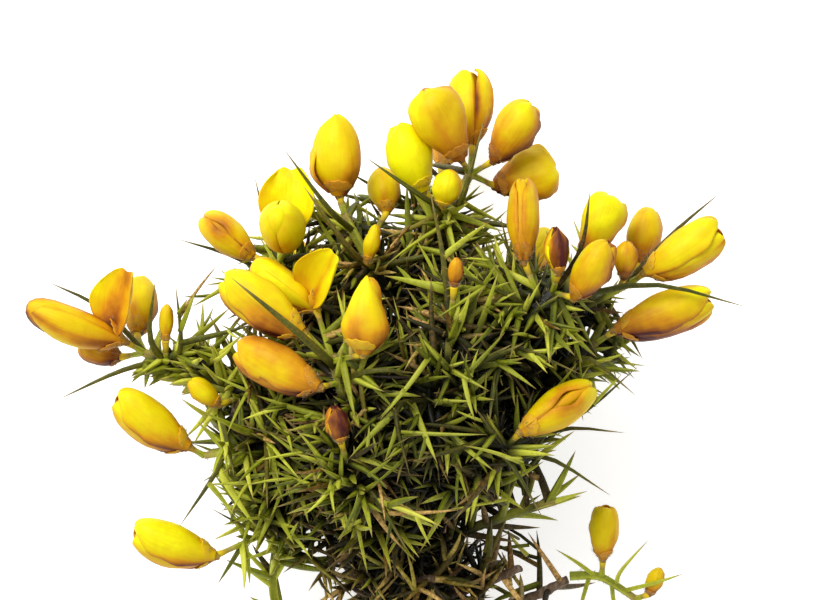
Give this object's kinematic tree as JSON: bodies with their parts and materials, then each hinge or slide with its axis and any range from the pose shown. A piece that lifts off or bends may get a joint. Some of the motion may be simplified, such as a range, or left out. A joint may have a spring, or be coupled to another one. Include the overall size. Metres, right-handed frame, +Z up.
{
  "type": "cut gorse sprig",
  "caption": "Cut sprig of gorse in bloom lying on its back: dense spiny green shoots on a woody stem, with yellow pea flowers, buds and a few spent blooms.",
  "frame": {"origin": "centre of the bounding box in plan, on the surface that the sprig lies on", "axes": "+X across the head, which is its longest way, +Y from the cut stem towards the top of the head, +Z up from the surface"},
  "size_m": [0.1434, 0.1336, 0.0714],
  "materials": {
    "petal_yellow": "satin, thin waxy petals",
    "petal_spent": "matte, shrivelled petals",
    "shoot_green": "satin, finely grooved",
    "wood_brown": "matte bark"
  },
  "bodies": {
    "root": {"woody_stem": "wood_brown", "shoot_far_left": "shoot_green", "shoot_left": "shoot_green", "shoot_lower_left": "shoot_green", "shoot_upper_left": "shoot_green", "shoot_front_left": "shoot_green", "shoot_top_left": "shoot_green", "shoot_top": "shoot_green", "shoot_upper_right": "shoot_green", "shoot_right": "shoot_green", "shoot_right_low": "shoot_green", "shoot_front_middle": "shoot_green", "shoot_lower_right": "shoot_green", "shoot_lower_front": "shoot_green", "shoot_low_side": "shoot_green", "shoot_branch_right": "shoot_green", "shoot_back_left": "shoot_green", "shoot_back_right": "shoot_green", "shoot_back_top": "shoot_green", "shoot_back_low_left": "shoot_green", "shoot_back_low_right": "shoot_green", "bloom_far_left": "petal_yellow", "bloom_far_left_behind": "petal_yellow", "bud_far_left_low": "petal_yellow", "bud_far_left_thin": "petal_yellow", "bloom_left": "petal_yellow", "bloom_lower_left": "petal_yellow", "bud_left": "petal_yellow", "bloom_upper_left": "petal_yellow", "bloom_upper_left_open": "petal_yellow", "bloom_top_left": "petal_yellow", "bloom_bright": "petal_yellow", "bloom_crown_left": "petal_yellow", "bloom_crown_tip": "petal_yellow", "bloom_crown_right": "petal_yellow", "bloom_crown_broad": "petal_yellow", "bud_crown": "petal_yellow", "bloom_pale": "petal_yellow", "bloom_orange": "petal_yellow", "bloom_spent_maroon": "petal_spent", "bloom_upper_right": "petal_yellow", "bloom_upper_right_low": "petal_yellow", "bud_right": "petal_yellow", "bloom_right_behind": "petal_yellow", "bloom_right": "petal_yellow", "bloom_right_low": "petal_yellow", "bloom_slit": "petal_yellow", "bloom_front": "petal_yellow", "bloom_front_low": "petal_yellow", "bloom_pair_low": "petal_yellow", "bloom_pair_open": "petal_yellow", "bud_narrow": "petal_yellow", "bloom_spent_brown": "petal_spent", "bloom_lower_right": "petal_yellow", "bud_lower_right": "petal_yellow", "bud_middle": "petal_yellow", "bloom_back_left": "petal_yellow", "bloom_back_right": "petal_yellow", "bloom_back_top": "petal_yellow", "bloom_back_low": "petal_yellow"}
  },
  "joints": []
}
